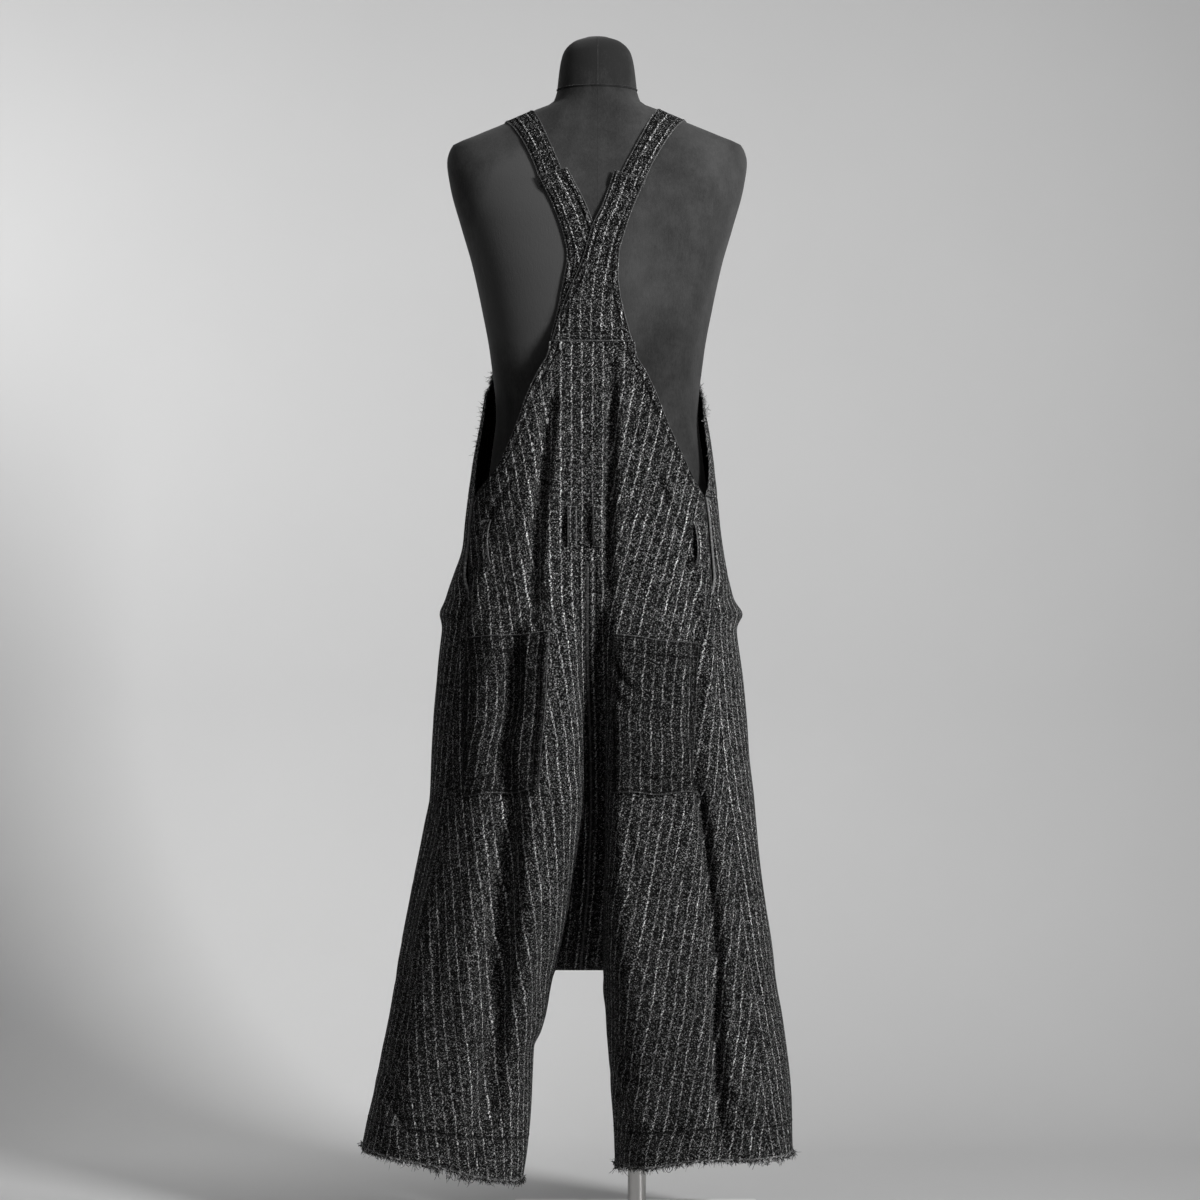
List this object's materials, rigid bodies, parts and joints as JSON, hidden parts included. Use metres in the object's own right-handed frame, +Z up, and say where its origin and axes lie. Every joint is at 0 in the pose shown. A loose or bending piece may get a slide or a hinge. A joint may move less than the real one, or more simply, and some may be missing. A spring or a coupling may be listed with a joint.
{
  "type": "overalls on a dress form",
  "caption": "Loose bib overalls with a low fork, crossed back straps, side slits, patch pockets and frayed hems, standing on a limbless dress form with a square steel foot.",
  "frame": {"origin": "on the floor, on the underside of the steel foot, below the middle of the shoulders", "axes": "+Z up; -Y is the way the garment faces, and +X is the wearer's left"},
  "size_m": [0.5924, 0.344, 1.639],
  "materials": {
    "tweed": "thick wool tweed with broken pale stripes",
    "fringe": "frayed raw edge",
    "form_cloth": "plain knitted cover, stretched smooth",
    "button": "satin",
    "steel": "polished tube",
    "base_paint": "satin paint"
  },
  "bodies": {
    "root": {"back_left": "tweed", "back_left_seat": "tweed", "back_left_leg": "tweed", "back_right": "tweed", "back_right_seat": "tweed", "back_right_leg": "tweed", "front_left": "tweed", "front_left_seat": "tweed", "front_left_leg": "tweed", "front_right": "tweed", "front_right_seat": "tweed", "front_right_leg": "tweed", "bib": "tweed", "pocket_left": "tweed", "pocket_right": "tweed", "loop_back_left": "tweed", "loop_back_right": "tweed", "loop_side_left": "tweed", "loop_side_right": "tweed", "back_strap_under": "tweed", "back_strap_over": "tweed", "shoulder_strap_left": "tweed", "shoulder_strap_right": "tweed", "fringe_left": "fringe", "fringe_right": "fringe", "button_left": "button", "button_right": "button", "form_torso": "form_cloth", "form_neck_cap": "form_cloth", "form_socket": "steel", "stand_pole": "steel", "stand_base": "base_paint"}
  },
  "joints": []
}
